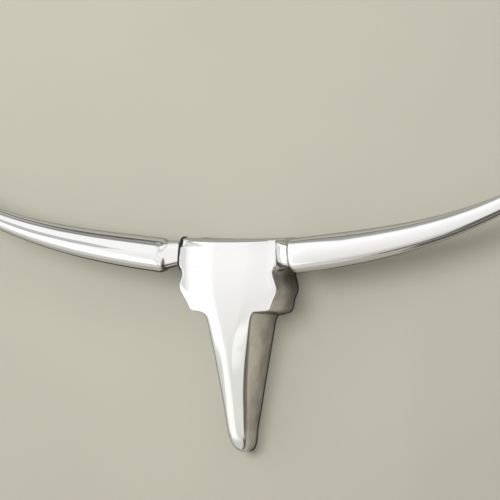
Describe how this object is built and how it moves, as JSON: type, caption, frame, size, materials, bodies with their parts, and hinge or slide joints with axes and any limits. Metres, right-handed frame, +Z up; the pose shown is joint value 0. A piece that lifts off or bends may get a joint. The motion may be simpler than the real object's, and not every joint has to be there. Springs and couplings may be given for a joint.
{
  "type": "longhorn skull wall sculpture",
  "caption": "Polished cast metal longhorn skull for a wall: hollow head with a tapering muzzle, sweeping horns bolted to its sides through black gaskets, hanging strap at the back.",
  "frame": {"origin": "middle of the hanger strap's back face, on the plane of the wall", "axes": "+X to the right of someone who looks at the skull, +Y into the wall, +Z up"},
  "size_m": [1.556, 0.135, 0.6754],
  "materials": {
    "polished_aluminium": "cast, ground and polished to a mirror, with faint polishing waves",
    "black_rubber": "plain moulded sheet, cut edge",
    "zinc_steel": "zinc plated, dull"
  },
  "bodies": {
    "root": {"head": "polished_aluminium", "right_horn": "polished_aluminium", "right_horn_gasket": "black_rubber", "right_horn_washer": "zinc_steel", "right_horn_bolt": "zinc_steel", "left_horn": "polished_aluminium", "left_horn_gasket": "black_rubber", "left_horn_washer": "zinc_steel", "left_horn_bolt": "zinc_steel", "hanger_strap": "zinc_steel", "left_strap_screw": "zinc_steel", "right_strap_screw": "zinc_steel"}
  },
  "joints": []
}
